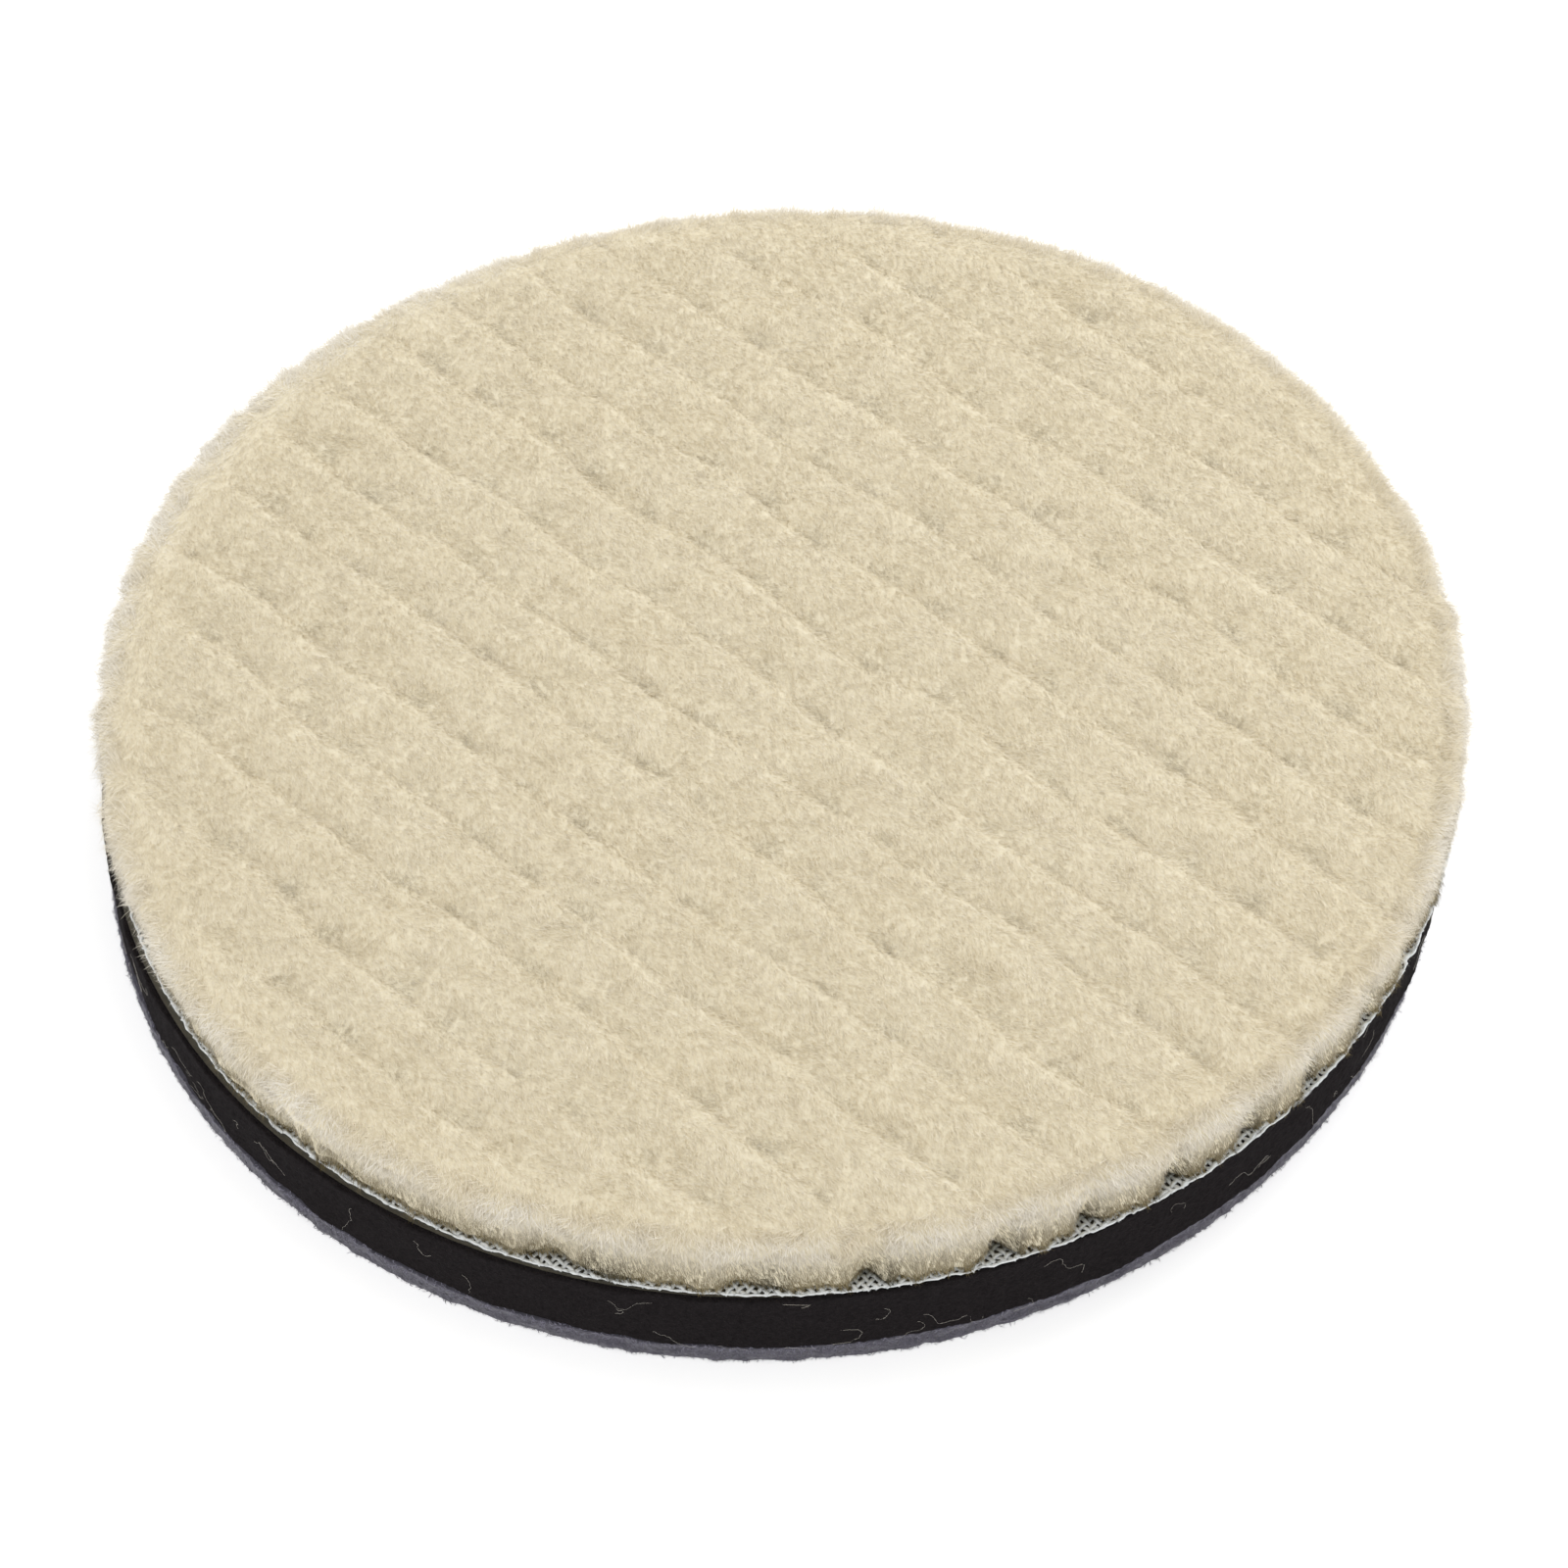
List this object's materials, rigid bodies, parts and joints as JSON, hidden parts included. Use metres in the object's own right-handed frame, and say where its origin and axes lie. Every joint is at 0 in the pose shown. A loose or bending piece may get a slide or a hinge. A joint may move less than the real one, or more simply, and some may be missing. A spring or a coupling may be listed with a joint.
{
  "type": "polishing pad",
  "caption": "Round wool polishing pad: rows of sheared wool tufts on a woven cloth, laminated to foam with brushed loop fabric on the back.",
  "frame": {"origin": "centre of the loop fabric's back face, which is the pad's underside", "axes": "+Z through the thickness towards the wool face; the rows of tufts run at 45 degrees, from -X +Y to +X -Y"},
  "size_m": [0.1524, 0.1524, 0.0204],
  "materials": {
    "brushed_loop": "brushed nylon loop, lilac-grey, matte and fuzzy",
    "hot_melt_film": "clear hot-melt adhesive pressed into black foam, satin",
    "foam": "fine open-cell polyurethane foam, black, matte",
    "woven_cloth": "plain-woven white thread, matte",
    "wool": "undyed sheared wool pile, cream, soft and matte"
  },
  "bodies": {
    "root": {"loop_fabric": "brushed_loop", "lower_adhesive_film": "hot_melt_film", "foam_core": "foam", "upper_adhesive_film": "hot_melt_film", "ground_cloth": "woven_cloth", "pile_row_01": "wool", "pile_row_02": "wool", "pile_row_03": "wool", "pile_row_04": "wool", "pile_row_05": "wool", "pile_row_06": "wool", "pile_row_07": "wool", "pile_row_08": "wool", "pile_row_09": "wool", "pile_row_10": "wool", "pile_row_11": "wool", "pile_row_12": "wool", "pile_row_13": "wool", "pile_row_14": "wool", "pile_row_15": "wool", "pile_row_16": "wool"}
  },
  "joints": []
}
